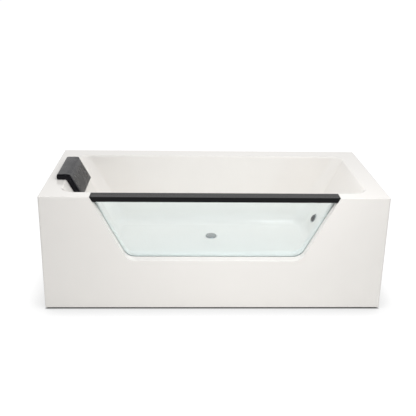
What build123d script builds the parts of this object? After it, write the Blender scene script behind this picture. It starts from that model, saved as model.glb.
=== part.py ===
from build123d import *
import os
from math import cos, radians, sin, tan

os.makedirs("parts", exist_ok=True)

# Whole tub, in mm. X runs along the tub, -Y is the windowed front, Z is up.
# The origin is on the floor, under the middle of the tub.
LENGTH = 1700.0
WIDTH = 830.0
RIM_TOP = 600.0
SHELL = 6.0
OUTER_CORNER = 10.0
OUTER_EDGE = 5.0
RIM_LIP = 12.0
SKIRT_GAP = 10.0
SKIRT_WRAP = 12.0

# Basin hollow.
RIM_END = 96.0
RIM_FRONT = 80.0
RIM_REAR = 110.0
BASIN_FLOOR = 205.0
END_SLOPE = radians(28.0)
SIDE_DRAFT = radians(4.0)
CORNER_TOP = 65.0
CORNER_FLOOR = 85.0
FLOOR_FILLET = 60.0
RIM_EDGE = 10.0

# Window in the front wall.
SILL_Z = 277.5
SILL_HALF = 432.0
WINDOW_SLANT = radians(27.9)
WINDOW_CORNER = 62.0
GLASS = 10.0
GLASS_EDGE = 12.0
GLASS_FRONT_Y = -385.0
SEAL = 2.5
FLANGE = 22.0
REVEAL_WALL = 5.0
REVEAL_FLARE = 2.0
SILL_FALL = 11.5
WINDOW_EDGE = 5.0

# Cap rail over the glass.
RAIL_HEIGHT = 24.0
RAIL_DEPTH = 68.0
RAIL_WALL = 2.5
RAIL_END = 3.3
RAIL_FIT = 0.8
RAIL_GAP = 2.0
RAIL_EDGE = 1.5
GLASS_BITE = 12.0
RAIL_PIN_R = 4.0
RAIL_PIN_Z = 583.0
RAIL_PIN_Y = -356.0
RAIL_PIN_OUT = 45.0
RAIL_PIN_FIT = 0.1
RAIL_PIN_WAY = 0.5
PIN_WAY_OUT = 620.0
ANCHOR_OUT = 670.0
ANCHOR_UNDER = 4.0

# Headrest bent over the left rim.
PAD = 29.0
PAD_LOW_Y = -156.0
PAD_HIGH_Y = 180.0
PAD_BACK_X = -803.0
PAD_SLOPE_LENGTH = 123.0
PAD_EDGE = 4.0
PAD_CROWN = 1.5
BODY_GAP = 0.3
CUP_R = 18.0
CUP_THICK = 5.5
CUP_DISH = 3.0
CUP_DISH_R = 50.0
CUP_POCKET = 0.5
CUP_DOWN_SLOPE = 62.0
CUP_Y = (-75.0, 95.0)

# Drain in the basin floor.
DRAIN_X = 1.0
DRAIN_Y = 57.0
DRAIN_HOLE_R = 25.0
DRAIN_NECK_R = 24.0
DRAIN_BORE_R = 22.0
DRAIN_FLANGE_R = 35.0
DRAIN_RIM = 3.5
DRAIN_RIM_EDGE = 2.0
DRAIN_NECK = 40.0
DRAIN_GASKET = 1.5
DRAIN_GASKET_R = 33.0
DRAIN_LOWER_GASKET = 3.0
DRAIN_NUT_FLATS = 62.0
DRAIN_NUT = 10.0
BOARD_CLEAR_R = 40.0
HUB_R = 9.0
HUB_LOW = -24.0
HUB_TOP = -14.0
HUB_RIB = 3.0
CLICK_R = 6.0
CLICK_LOW = -38.0
CLICK_TOP = -12.0
CLICK_BASE = 2.0
PLUG_R = 29.0
PLUG_UNDER = 5.5
PLUG_TOP = 10.5
PLUG_CROWN = 2.0
PLUG_EDGE = 0.8
PLUG_NECK_R = 15.0
PLUG_STOP_R = 18.5
PLUG_STOP = 3.0
PLUG_SEAL_R = 21.5
PLUG_SEAL = 3.0
STEM_R = 3.0
STEM_LOW = -32.0
WASTE_R = 20.0
WASTE_NECK_R = 19.0
WASTE_BORE_R = 17.0
WASTE_SPIGOT = 40.0
WASTE_END_Z = 62.0
WASTE_FLANGE = 3.0
COUPLING_R = 30.0
COUPLING_TOP = -22.0
COUPLING_SEAT = 44.0
COUPLING_LOW = -48.0
COUPLING_GRIP_R = 3.0
COUPLING_GRIPS = 8

# Two water ports in the right end wall, for the chiller loop.
PORT_Z = 288.0
JET_Y = 128.0
SUCTION_Y = -20.0
JET_FLANGE_R = 27.0
SUCTION_FLANGE_R = 29.0
PORT_RIM = 3.0
PORT_RIM_EDGE = 1.2
PORT_BARREL_R = 20.0
PORT_BORE_R = 17.0
PORT_BORE = 16.0
PORT_FLOOR = 4.0
PORT_FIT = 0.25
PORT_DEPTH = 60.0
PORT_GASKET = 1.5
PORT_GASKET_R = 25.0
PORT_NUT_FLATS = 50.0
PORT_NUT = 11.0
OUTLET_DEPTH = 40.0
OUTLET_R = 16.0
OUTLET_NECK_R = 15.0
OUTLET_BORE_R = 12.5
OUTLET_SPIGOT = 40.0
OUTLET_REACH = 80.0
PORT_WALL = 3.0
BALL_R = 13.0
BALL_HALF = 11.0
BALL_BORE_R = 5.0
BALL_CONE_R = 6.5
BALL_CONE = 8.0
JET_RING_R = 19.5
JET_RING = 5.0
JET_RING_EDGE = 1.5
JET_RING_NECK = 10.0
JET_RING_BORE_R = 10.5
JET_RING_LIFT = 0.1
FLUTES = 12
FLUTE_R = 2.4
FLUTE_BITE = 1.2
COVER_R = 24.0
COVER_TOP = 11.5
COVER_DOME_R = 60.0
COVER_WALL = 2.0
COVER_BOSS_R = 6.0
COVER_HOLE_R = 1.8
COVER_HOLES = ((9.5, 8), (14.5, 12), (19.5, 16))
COVER_SCREW_R = 2.0
COVER_SCREW_HEAD_R = 4.2
COVER_SCREW_SEAT = 10.0
COVER_SCREW_LOW = -8.0
WEB_R = 4.5
WEB = 2.4
WEB_LOW = -10.0

# Board and steel frame under the basin.
BOARD = 15.0
BOARD_LENGTH = 980.0
BOARD_WIDTH = 450.0
TUBE = 30.0
TUBE_WALL = 2.0
RAIL_Y = 350.0
LONG_RAIL = 1580.0
CROSS_X = 380.0
POST = 25.0
BRACKET_WIDTH = 40.0
BRACKET_PLATE = 3.0
BRACKET_TAB = 40.0
BRACKET_X = (-700.0, -250.0, 250.0, 700.0)
BRACKET_Y = (-150.0, 150.0)
BRACKET_SCREW_IN = 8.0
PAN_HEAD_R = 5.0
PAN_HEAD = 3.0
BRACKET_SCREW_R = 2.0
BRACKET_SCREW = 12.0
BOARD_SCREW_R = 2.2
BOARD_SCREW_BITE = 10.0
BOARD_SCREW_Y = (-180.0, -15.0, 150.0)
BOARD_CORNER = 20.0

# Adjustable feet.
FOOT_X = 620.0
FOOT_PAD_R = 30.0
FOOT_PAD_HEIGHT = 20.0
FOOT_PAD_RIM = 8.0
FOOT_PAD_EDGE = 1.0
FOOT_PAD_NECK_R = 14.0
STUD_R = 6.0
STUD_FLATS = 19.0
STUD_NUT = 8.0
STUD_TOP_Z = 180.0
RUNNING_FIT = 0.05
INSERT_R = 9.0
INSERT_FLANGE_R = 13.0
INSERT_FLANGE = 3.0
INSERT_DEPTH = 16.0

# Worked out from the sizes above.
OPENING_LENGTH = LENGTH - 2 * RIM_END
OPENING_WIDTH = WIDTH - RIM_FRONT - RIM_REAR
BASIN_Y = (RIM_FRONT - RIM_REAR) / 2
FRONT_Y = -WIDTH / 2
DECK_UNDER = RIM_TOP - SHELL
SKIRT_TOP = RIM_TOP - RIM_LIP
RAIL_UNDER = RIM_TOP - RAIL_HEIGHT
GLASS_BACK_Y = GLASS_FRONT_Y + GLASS
SEAL_FRONT_Y = GLASS_FRONT_Y - SEAL
SEAL_BACK_Y = GLASS_BACK_Y + SEAL
FRAME_TOP = BASIN_FLOOR - SHELL - BOARD
FRAME_UNDER = FRAME_TOP - TUBE


def save(name, *solids):
    """Write one node, as one solid or as a group of separate solids."""
    shape = solids[0] if len(solids) == 1 else Compound(children=list(solids))
    export_step(shape, f"parts/{name}.step")


def post_solid(radius, low, high):
    """Upright round bar between two heights."""
    return Pos(0, 0, (low + high) / 2) * Cylinder(radius, high - low)


def ring_solid(outer, inner, low, high):
    """Upright ring between two heights."""
    return post_solid(outer, low, high) - post_solid(inner, low, high)


def box_solid(x, y, z):
    """Block between the given pairs of coordinates."""
    middle = Pos(sum(x) / 2, sum(y) / 2, sum(z) / 2)
    return middle * Box(x[1] - x[0], y[1] - y[0], z[1] - z[0])


def hex_nut(across_flats, bore, low, high):
    """Hexagon nut with a plain bore."""
    blank = extrude(RegularPolygon(across_flats / 2, 6, major_radius=False), high - low)
    return Pos(0, 0, low) * blank - post_solid(bore, low, high)


def basin_section(height, grow):
    """Rounded outline of the basin's hollow at one height, grown by a wall."""
    drop = RIM_TOP - height
    length = OPENING_LENGTH + 2 * grow / cos(END_SLOPE) - 2 * drop * tan(END_SLOPE)
    width = OPENING_WIDTH + 2 * grow / cos(SIDE_DRAFT) - 2 * drop * tan(SIDE_DRAFT)
    share = drop / (RIM_TOP - BASIN_FLOOR)
    corner = CORNER_TOP + (CORNER_FLOOR - CORNER_TOP) * share + grow
    return Pos(0, BASIN_Y, height) * RectangleRounded(length, width, corner)


def basin_block(grow, top):
    """The basin's hollow as a solid, with its floor blended into the walls."""
    low = basin_section(BASIN_FLOOR - grow, grow)
    high = basin_section(top, grow)
    block = loft([low, high], ruled=True)
    return fillet(block.edges().group_by(Axis.Z)[0], FLOOR_FILLET + grow)


def window_half(height, grow):
    """Half the window's width at one height."""
    return SILL_HALF + (height - SILL_Z) * tan(WINDOW_SLANT) + grow / cos(WINDOW_SLANT)


def window_face(y, top, side, sill):
    """Window outline in the plane at depth y, grown at its sides and its sill."""
    low = SILL_Z - sill
    points = [
        (-window_half(top, side), top),
        (-window_half(low, side), low),
        (window_half(low, side), low),
        (window_half(top, side), top),
    ]
    outline = make_face(Polyline(*points, close=True))
    outline = fillet(outline.vertices().group_by(Axis.Y)[0], WINDOW_CORNER + side)
    return Plane(origin=(0, y, 0), x_dir=(1, 0, 0), z_dir=(0, -1, 0)) * outline


def window_prism(grow, top, back, front):
    """Solid of the window outline between two depths."""
    return extrude(window_face(back, top, grow, grow), back - front)


def port_place(y):
    """Frame of a water port: Z points from the end wall into the basin."""
    x = OPENING_LENGTH / 2 - (RIM_TOP - PORT_Z) * tan(END_SLOPE)
    inward = (-cos(END_SLOPE), 0, sin(END_SLOPE))
    down_wall = (-sin(END_SLOPE), 0, -cos(END_SLOPE))
    return Plane(origin=(x, y, PORT_Z), x_dir=down_wall, z_dir=inward)


def drain_place():
    """Frame of the drain: Z up from the top of the basin floor."""
    return Pos(DRAIN_X, DRAIN_Y, BASIN_FLOOR)


def rail_slot():
    """Gap across the front of the rim that the cap rail fills."""
    slot = window_prism(RAIL_GAP, RIM_TOP + 1, BASIN_Y, FRONT_Y - 1)
    return slot & box_solid((-LENGTH, LENGTH), (-WIDTH, 0), (RAIL_UNDER - 1, RIM_TOP + 2))


def soften_window(shell):
    """Round the edge where the basin's front wall turns into the window box."""
    edges = []
    for edge in shell.edges():
        middle = edge.center()
        on_wall = middle.Y > FRONT_Y + RIM_FRONT - 1 and middle.Y < BASIN_Y
        on_window = SILL_Z - 1 < middle.Z < RAIL_UNDER - 1 and abs(middle.X) < window_half(middle.Z, 2)
        if on_wall and on_window:
            edges.append(edge)
    return fillet(edges, WINDOW_EDGE)


def basin_shell():
    """Thermoformed basin and deck in one, with the window's boxed opening."""
    deck = extrude(RectangleRounded(LENGTH, WIDTH, OUTER_CORNER), RIM_LIP)
    deck = Pos(0, 0, SKIRT_TOP) * deck
    deck = fillet(deck.edges().group_by(Axis.Z)[-1], OUTER_EDGE)
    inside = RectangleRounded(LENGTH - 2 * SHELL, WIDTH - 2 * SHELL, OUTER_CORNER - SHELL)
    deck -= Pos(0, 0, SKIRT_TOP) * extrude(inside, RIM_LIP - SHELL)
    box_walls = window_prism(SHELL, DECK_UNDER, BASIN_Y, SEAL_BACK_Y)
    glass_seat = window_prism(FLANGE, DECK_UNDER, SEAL_BACK_Y + SHELL, SEAL_BACK_Y)
    shell = deck + basin_block(SHELL, RIM_TOP - 1) + box_walls + glass_seat
    shell -= basin_block(0, RIM_TOP + 1)
    rim_face = shell.faces().sort_by(Axis.Z)[-1]
    shell = fillet(rim_face.inner_wires()[0].edges(), RIM_EDGE)
    shell -= window_prism(0, RAIL_UNDER, BASIN_Y, FRONT_Y - 1)
    shell = soften_window(shell)
    shell -= rail_slot()
    shell -= drain_place() * post_solid(DRAIN_HOLE_R, -2 * SHELL, SHELL)
    for y in (JET_Y, SUCTION_Y):
        shell -= port_place(y) * post_solid(PORT_BARREL_R + PORT_FIT, -2 * SHELL, SHELL)
    pin_way = Pos(0, RAIL_PIN_Y, RAIL_PIN_Z) * Rot(0, 90, 0) * Cylinder(RAIL_PIN_R + RAIL_PIN_WAY, LENGTH)
    shell -= pin_way & box_solid((-PIN_WAY_OUT, PIN_WAY_OUT), (FRONT_Y, BASIN_Y), (RAIL_UNDER, RIM_TOP))
    return shell


def skirt_ring():
    """All four skirt walls as one ring, up to the underside of the rim's lip."""
    outer = RectangleRounded(LENGTH, WIDTH, OUTER_CORNER)
    inner = RectangleRounded(LENGTH - 2 * SHELL, WIDTH - 2 * SHELL, OUTER_CORNER - SHELL)
    return Pos(0, 0, SKIRT_GAP) * extrude(outer - inner, SKIRT_TOP - SKIRT_GAP)


def reveal_block(grow, y_low, top):
    """Solid that flares from the window's seal to the front face, grown by a wall."""
    back = window_face(SEAL_FRONT_Y, top, grow, grow)
    front = window_face(FRONT_Y, top, REVEAL_FLARE + grow, SILL_FALL + grow)
    block = loft([back, front], ruled=True)
    return block & box_solid((-LENGTH, LENGTH), (FRONT_Y + y_low, 0), (0, RIM_TOP))


def skirt_front(ring):
    """Front apron with turned-back ends, cut out for the window's reveal."""
    front = ring & box_solid((-LENGTH, LENGTH), (FRONT_Y - 1, FRONT_Y + SKIRT_WRAP), (0, RIM_TOP))
    return front - reveal_block(0, 0, RIM_TOP) - rail_slot()


def window_reveal():
    """Flared frame round the window, bonded behind the apron's cut-out."""
    frame = reveal_block(REVEAL_WALL, SHELL, SKIRT_TOP) - reveal_block(0, 0, RIM_TOP)
    return frame - rail_slot()


def window_gasket():
    """Rubber channel round the sides and bottom of the glass, with a thin lip."""
    seal = window_prism(GLASS_EDGE + SEAL, RAIL_UNDER, SEAL_BACK_Y, SEAL_FRONT_Y)
    seal -= window_prism(-SEAL / 2, RIM_TOP, SEAL_BACK_Y, SEAL_FRONT_Y)
    return seal - window_prism(GLASS_EDGE, RIM_TOP, GLASS_BACK_Y, GLASS_FRONT_Y)


def rail_outline():
    """Full cross-section of the cap rail, extruded past both ends."""
    bar = box_solid((-LENGTH / 2, LENGTH / 2), (FRONT_Y, FRONT_Y + RAIL_DEPTH), (RAIL_UNDER, RIM_TOP))
    long_edges = bar.edges().filter_by(Axis.X).group_by(Axis.Z)[-1]
    bar = fillet(long_edges, RAIL_EDGE)
    slot_top = RAIL_UNDER + GLASS_BITE + SEAL
    slot = box_solid((-LENGTH, LENGTH), (SEAL_FRONT_Y, SEAL_BACK_Y), (0, slot_top))
    return bar - slot


def cap_rail():
    """Hollow rail: one chamber each side of the slot that takes the glass."""
    low = RAIL_UNDER + RAIL_WALL
    high = RIM_TOP - RAIL_WALL
    front = (FRONT_Y + RAIL_WALL, SEAL_FRONT_Y - RAIL_WALL)
    rear = (SEAL_BACK_Y + RAIL_WALL, FRONT_Y + RAIL_DEPTH - RAIL_WALL)
    bar = rail_outline()
    for chamber in (front, rear):
        bar -= box_solid((-LENGTH, LENGTH), chamber, (low, high))
    return bar & window_prism(RAIL_FIT - RAIL_END, RIM_TOP + 1, 0, FRONT_Y - 1)


def rail_end_plates():
    """Slanted plates that close the rail's ends, each with a fixing pin."""
    ends = rail_outline() & window_prism(RAIL_FIT, RIM_TOP + 1, 0, FRONT_Y - 1)
    ends -= window_prism(RAIL_FIT - RAIL_END, RIM_TOP + 1, 0, FRONT_Y - 1)
    plates = []
    for solid in ends.solids().sort_by(Axis.X):
        side = 1 if solid.center().X > 0 else -1
        start = window_half(RAIL_PIN_Z, RAIL_FIT) - RAIL_END
        reach = start + RAIL_PIN_OUT
        pin = Pos(side * (start + reach) / 2, RAIL_PIN_Y, RAIL_PIN_Z) * Rot(0, 90, 0)
        plates.append(solid + pin * Cylinder(RAIL_PIN_R, reach - start))
    return plates


def rail_anchor_blocks():
    """Blocks bonded under the deck that hold the rail's pins."""
    rear = FRONT_Y + RIM_FRONT - SHELL - WINDOW_EDGE
    span = (-ANCHOR_OUT, ANCHOR_OUT)
    bar = box_solid(span, (SEAL_BACK_Y + SHELL, rear), (RAIL_UNDER - ANCHOR_UNDER, DECK_UNDER))
    bar -= window_prism(SHELL, RIM_TOP, 0, FRONT_Y)
    bore = Pos(0, RAIL_PIN_Y, RAIL_PIN_Z) * Rot(0, 90, 0)
    return (bar - bore * Cylinder(RAIL_PIN_R + RAIL_PIN_FIT, LENGTH)).solids()


def rail_glazing_strip():
    """Rubber strip over the top edge of the glass, inside the rail's slot."""
    top = RAIL_UNDER + GLASS_BITE
    strip = box_solid((-LENGTH, LENGTH), (SEAL_FRONT_Y, SEAL_BACK_Y), (RAIL_UNDER, top + SEAL))
    strip -= box_solid((-LENGTH, LENGTH), (GLASS_FRONT_Y, GLASS_BACK_Y), (RAIL_UNDER - 1, top))
    return strip & window_prism(RAIL_FIT, RIM_TOP, 0, FRONT_Y)


def backrest_plane(down, y):
    """Frame on the left backrest: Z points into the basin, X down the slope."""
    x = -OPENING_LENGTH / 2 + down * sin(END_SLOPE)
    z = RIM_TOP - down * cos(END_SLOPE)
    slope = (sin(END_SLOPE), 0, -cos(END_SLOPE))
    return Plane(origin=(x, y, z), x_dir=slope, z_dir=(cos(END_SLOPE), 0, sin(END_SLOPE)))


def headrest_pad():
    """Firm foam pad, bent over the rim, with crowned faces and cup pockets."""
    under = RIM_TOP + BODY_GAP
    top = RIM_TOP + PAD
    inward = Vector(cos(END_SLOPE), 0, sin(END_SLOPE))
    down = Vector(sin(END_SLOPE), 0, -cos(END_SLOPE))
    rim = Vector(-OPENING_LENGTH / 2, 0, RIM_TOP)
    face_start = rim + inward * PAD
    ridge = face_start - down * ((top - face_start.Z) / cos(END_SLOPE))
    low_outer = face_start + down * PAD_SLOPE_LENGTH
    low_inner = rim + inward * BODY_GAP + down * PAD_SLOPE_LENGTH
    inner = Vector(rim.X + BODY_GAP * (1 / cos(END_SLOPE) - tan(END_SLOPE)), 0, under)
    back_low = Vector(PAD_BACK_X, 0, under)
    back_top = Vector(PAD_BACK_X, 0, top - PAD_CROWN)
    flat_mid = Vector((PAD_BACK_X + ridge.X) / 2, 0, top)
    slope_mid = (ridge + low_outer) * 0.5 + inward * PAD_CROWN
    outline = [
        Line(back_low, back_top),
        ThreePointArc(back_top, flat_mid, ridge),
        ThreePointArc(ridge, slope_mid, low_outer),
        Line(low_outer, low_inner),
        Line(low_inner, inner),
        Line(inner, back_low),
    ]
    pad = extrude(make_face(Wire(outline)), PAD_HIGH_Y - PAD_LOW_Y, dir=(0, 1, 0))
    pad = Pos(0, PAD_LOW_Y, 0) * pad
    hidden = (pad.edges().filter_by(Axis.Y)).sort_by_distance(inner)[0]
    pad = fillet([edge for edge in pad.edges() if edge != hidden], PAD_EDGE)
    for y in CUP_Y:
        pad -= backrest_plane(CUP_DOWN_SLOPE, y) * post_solid(CUP_R + CUP_POCKET, -1, CUP_THICK + BODY_GAP)
    return pad


def headrest_cups():
    """Soft suction cups set in the pad's underside, dished where they grip."""
    cups = []
    for y in CUP_Y:
        cup = post_solid(CUP_R, BODY_GAP, CUP_THICK + BODY_GAP)
        cup -= Pos(0, 0, BODY_GAP + CUP_DISH - CUP_DISH_R) * Sphere(CUP_DISH_R)
        cups.append(backrest_plane(CUP_DOWN_SLOPE, y) * cup)
    return cups


def drain_flange():
    """Flange and threaded neck of the drain, with the bar that holds the click barrel."""
    top = DRAIN_GASKET + DRAIN_RIM
    flange = post_solid(DRAIN_FLANGE_R, DRAIN_GASKET, top)
    flange = fillet(flange.edges().group_by(Axis.Z)[-1], DRAIN_RIM_EDGE)
    body = flange + post_solid(DRAIN_NECK_R, -DRAIN_NECK, DRAIN_GASKET)
    body -= post_solid(DRAIN_BORE_R, -DRAIN_NECK - 1, top + 1)
    hub = post_solid(HUB_R, HUB_LOW, HUB_TOP)
    reach = DRAIN_BORE_R + 1
    rib = box_solid((-reach, reach), (-HUB_RIB / 2, HUB_RIB / 2), (HUB_LOW, HUB_TOP))
    hub += rib + Rot(0, 0, 90) * rib
    return drain_place() * (body + hub - post_solid(CLICK_R, HUB_LOW - 1, HUB_TOP + 1))


def plug_cartridge():
    """Click barrel that the plug's stem slides in."""
    barrel = post_solid(CLICK_R, CLICK_LOW, CLICK_TOP)
    barrel -= post_solid(STEM_R + RUNNING_FIT, CLICK_LOW + CLICK_BASE, CLICK_TOP + 1)
    return drain_place() * barrel


def pop_up_plug():
    """Domed cap with a boss for its seal and a stem."""
    dome_r = (PLUG_R ** 2 + PLUG_CROWN ** 2) / (2 * PLUG_CROWN)
    cap = post_solid(PLUG_R, PLUG_UNDER, PLUG_TOP) & Pos(0, 0, PLUG_TOP - dome_r) * Sphere(dome_r)
    cap = fillet(cap.edges().group_by(Axis.Z)[0], PLUG_EDGE)
    plug = cap + post_solid(PLUG_NECK_R, -PLUG_STOP, PLUG_UNDER) + post_solid(PLUG_STOP_R, -PLUG_STOP, 0)
    return drain_place() * (plug + post_solid(STEM_R, STEM_LOW, -PLUG_STOP))


def waste_tailpiece():
    """Flanged pipe that hangs from the drain neck."""
    low = WASTE_END_Z - BASIN_FLOOR
    pipe = post_solid(DRAIN_NECK_R, -DRAIN_NECK - WASTE_FLANGE, -DRAIN_NECK)
    pipe += post_solid(WASTE_NECK_R, low, -DRAIN_NECK - 1)
    pipe += post_solid(WASTE_R, low, low + WASTE_SPIGOT)
    return drain_place() * (pipe - post_solid(WASTE_BORE_R, low - 1, 1 - DRAIN_NECK))


def tail_coupling_nut():
    """Ribbed nut that draws the tailpiece up to the drain neck."""
    seat = -COUPLING_SEAT
    nut = ring_solid(COUPLING_R, DRAIN_NECK_R, seat, COUPLING_TOP)
    nut += ring_solid(COUPLING_R, WASTE_NECK_R, COUPLING_LOW, seat + 1)
    bars = post_solid(COUPLING_GRIP_R, COUPLING_LOW, COUPLING_TOP)
    for turn in range(COUPLING_GRIPS):
        bar = Rot(0, 0, 360 * turn / COUPLING_GRIPS) * Pos(COUPLING_R, 0, 0) * bars
        nut += bar - post_solid(COUPLING_R - 1, COUPLING_LOW - 1, COUPLING_TOP + 1)
    return drain_place() * nut


def port_shell(flange_r, bore_r):
    """Port body: flange, barrel, closed rear and a hose spigot down the wall."""
    top = PORT_GASKET + PORT_RIM
    flange = fillet(post_solid(flange_r, PORT_GASKET, top).edges().group_by(Axis.Z)[-1], PORT_RIM_EDGE)
    down_wall = Pos(0, 0, -OUTLET_DEPTH) * Rot(0, 90, 0)
    body = flange + post_solid(PORT_BARREL_R, -PORT_DEPTH, PORT_GASKET)
    body += down_wall * post_solid(OUTLET_NECK_R, 0, OUTLET_REACH)
    body += down_wall * post_solid(OUTLET_R, OUTLET_REACH - OUTLET_SPIGOT, OUTLET_REACH)
    body -= post_solid(bore_r, -PORT_BORE, top + 1)
    body -= post_solid(PORT_BARREL_R - PORT_WALL, PORT_FLOOR - PORT_DEPTH, 1 - PORT_BORE)
    return body - down_wall * post_solid(OUTLET_BORE_R, 0, OUTLET_REACH + 1)


def jet_ring():
    """Turning ring that holds the nozzle ball, with grip flutes."""
    under = PORT_GASKET + PORT_RIM + JET_RING_LIFT
    ring = post_solid(JET_RING_R, under, under + JET_RING)
    ring = fillet(ring.edges().group_by(Axis.Z)[-1], JET_RING_EDGE)
    ring += post_solid(PORT_BORE_R, -JET_RING_NECK, under)
    ring -= Sphere(BALL_R + BODY_GAP)
    ring -= post_solid(JET_RING_BORE_R, -PORT_BORE, PORT_BORE)
    flute = post_solid(FLUTE_R, under - 1, under + JET_RING + 1)
    flute = Pos(JET_RING_R + FLUTE_R - FLUTE_BITE, 0, 0) * flute
    for turn in range(FLUTES):
        ring -= Rot(0, 0, 360 * turn / FLUTES) * flute
    return ring


def jet_eyeball():
    """Nozzle ball, cut flat front and rear and bored through."""
    ball = Sphere(BALL_R) & post_solid(BALL_R, -BALL_HALF, BALL_HALF)
    ball -= post_solid(BALL_BORE_R, -BALL_R, BALL_R)
    return ball - Pos(0, 0, BALL_HALF - BALL_CONE / 2) * Cone(0.1, BALL_CONE_R, BALL_CONE)


def suction_cover():
    """Domed strainer cap on the port's flange, with three rings of round holes."""
    under = PORT_GASKET + PORT_RIM
    ceiling = COVER_TOP - COVER_WALL
    outer = post_solid(COVER_R, under, COVER_TOP)
    outer &= Pos(0, 0, COVER_TOP - COVER_DOME_R) * Sphere(COVER_DOME_R)
    inner = post_solid(COVER_R - COVER_WALL, under - 1, ceiling)
    inner &= Pos(0, 0, ceiling - COVER_DOME_R) * Sphere(COVER_DOME_R)
    cap = outer - inner + post_solid(COVER_BOSS_R, under, COVER_SCREW_SEAT)
    cap -= post_solid(COVER_SCREW_R, 0, COVER_TOP + 1)
    cap -= post_solid(COVER_SCREW_HEAD_R, COVER_SCREW_SEAT, COVER_TOP + 1)
    hole = post_solid(COVER_HOLE_R, under + 1, COVER_TOP + 1)
    for radius, count in COVER_HOLES:
        for step in range(count):
            cap -= Rot(0, 0, 360 * step / count) * Pos(radius, 0, 0) * hole
    return cap


def suction_cover_screw():
    """Domed screw through the middle of the strainer cap."""
    top = COVER_TOP + 1
    crown_r = 2 * COVER_SCREW_HEAD_R
    head = post_solid(COVER_SCREW_HEAD_R, COVER_SCREW_SEAT, top) & Pos(0, 0, top - crown_r) * Sphere(crown_r)
    return head + post_solid(COVER_SCREW_R, COVER_SCREW_LOW, COVER_SCREW_SEAT)


def suction_body():
    """Suction port body with a cross web that takes the cover's screw."""
    body = port_shell(SUCTION_FLANGE_R, PORT_BORE_R)
    top = PORT_GASKET + PORT_RIM - JET_RING_LIFT
    rib = box_solid((-PORT_BORE_R - 1, PORT_BORE_R + 1), (-WEB / 2, WEB / 2), (WEB_LOW, 0))
    web = post_solid(WEB_R, WEB_LOW, top) + rib + Rot(0, 0, 90) * rib
    return body + web - post_solid(COVER_SCREW_R, COVER_SCREW_LOW - 1, top + 1)


def steel_tube(x, y, z, along):
    """Square steel tube, open at both ends."""
    outer = box_solid(x, y, z)
    spans = [x, y, z]
    for axis in range(3):
        low, high = spans[axis]
        inset = -1 if axis == along else TUBE_WALL
        spans[axis] = (low + inset, high - inset)
    return outer - box_solid(*spans)


def skirt_brackets():
    """Angle plates on the frame that hold the skirt's lower edge."""
    top = (FRAME_TOP, FRAME_TOP + BRACKET_PLATE)
    tab = (FRAME_TOP + BRACKET_PLATE - BRACKET_TAB, FRAME_TOP + BRACKET_PLATE)
    half = BRACKET_WIDTH / 2
    plates = []
    skirt = WIDTH / 2 - SHELL
    for x in BRACKET_X:
        for side in (-1, 1):
            span = (x - half, x + half)
            reach = sorted((side * RAIL_Y, side * skirt))
            edge = sorted((side * (skirt - BRACKET_PLATE), side * skirt))
            plates.append(box_solid(span, reach, top) + box_solid(span, edge, tab))
    skirt = LENGTH / 2 - SHELL
    for y in BRACKET_Y:
        for side in (-1, 1):
            span = (y - half, y + half)
            reach = sorted((side * (LONG_RAIL / 2 + TUBE / 2), side * skirt))
            edge = sorted((side * (skirt - BRACKET_PLATE), side * skirt))
            plates.append(box_solid(reach, span, top) + box_solid(edge, span, tab))
    return plates


def bracket_screws():
    """Pan-head screws down through each bracket into its frame rail."""
    screw = post_solid(PAN_HEAD_R, 0, PAN_HEAD) + post_solid(BRACKET_SCREW_R, -BRACKET_SCREW, 0)
    height = FRAME_TOP + BRACKET_PLATE
    places = [(x, side * (RAIL_Y + BRACKET_SCREW_IN)) for x in BRACKET_X for side in (-1, 1)]
    places += [(side * (LONG_RAIL / 2 + TUBE - BRACKET_SCREW_IN), y) for y in BRACKET_Y for side in (-1, 1)]
    return [Pos(x, y, height) * screw for x, y in places]


def board_screws():
    """Screws up through the cross rails into the board."""
    screw = post_solid(PAN_HEAD_R, -PAN_HEAD, 0) + post_solid(BOARD_SCREW_R, 0, TUBE + BOARD_SCREW_BITE)
    places = [(x, y) for x in (-CROSS_X, CROSS_X) for y in BOARD_SCREW_Y]
    return [Pos(x, y, FRAME_UNDER) * screw for x, y in places]


def drilled(piece, screws):
    """The piece with holes that its screws fill."""
    for screw in screws:
        piece -= screw
    return piece


def foot_pad():
    """Round plastic pad with a coned top."""
    base = post_solid(FOOT_PAD_R, 0, FOOT_PAD_RIM)
    base = fillet(base.edges().group_by(Axis.Z)[0], FOOT_PAD_EDGE)
    rise = FOOT_PAD_HEIGHT - FOOT_PAD_RIM
    cone = Pos(0, 0, FOOT_PAD_RIM + rise / 2) * Cone(FOOT_PAD_R, FOOT_PAD_NECK_R, rise)
    return base + cone - post_solid(STUD_R, FOOT_PAD_RIM, FOOT_PAD_HEIGHT + 1)


def foot_stud():
    """Threaded stud with a hexagon to turn it by."""
    hexagon = extrude(RegularPolygon(STUD_FLATS / 2, 6, major_radius=False), STUD_NUT)
    return post_solid(STUD_R, FOOT_PAD_RIM, STUD_TOP_Z) + Pos(0, 0, FOOT_PAD_HEIGHT) * hexagon


def foot_insert():
    """Flanged nut let into the underside of the frame rail."""
    low = FRAME_UNDER - INSERT_FLANGE
    flange = ring_solid(INSERT_FLANGE_R, STUD_R + RUNNING_FIT, low, FRAME_UNDER)
    return flange + ring_solid(INSERT_R, STUD_R + RUNNING_FIT, low, FRAME_UNDER + INSERT_DEPTH)


# Shells
ring = skirt_ring()
save("basin_shell", basin_shell())
save("skirt_front", skirt_front(ring))
save("window_reveal", window_reveal())
rear_zone = box_solid((-LENGTH, LENGTH), (WIDTH / 2 - SKIRT_WRAP, WIDTH), (0, RIM_TOP))
save("skirt_rear", ring & rear_zone)
side_y = (SKIRT_WRAP - WIDTH / 2, WIDTH / 2 - SKIRT_WRAP)
save("skirt_left_end", ring & box_solid((-LENGTH, 0), side_y, (0, RIM_TOP)))
save("skirt_right_end", ring & box_solid((0, LENGTH), side_y, (0, RIM_TOP)))

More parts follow.
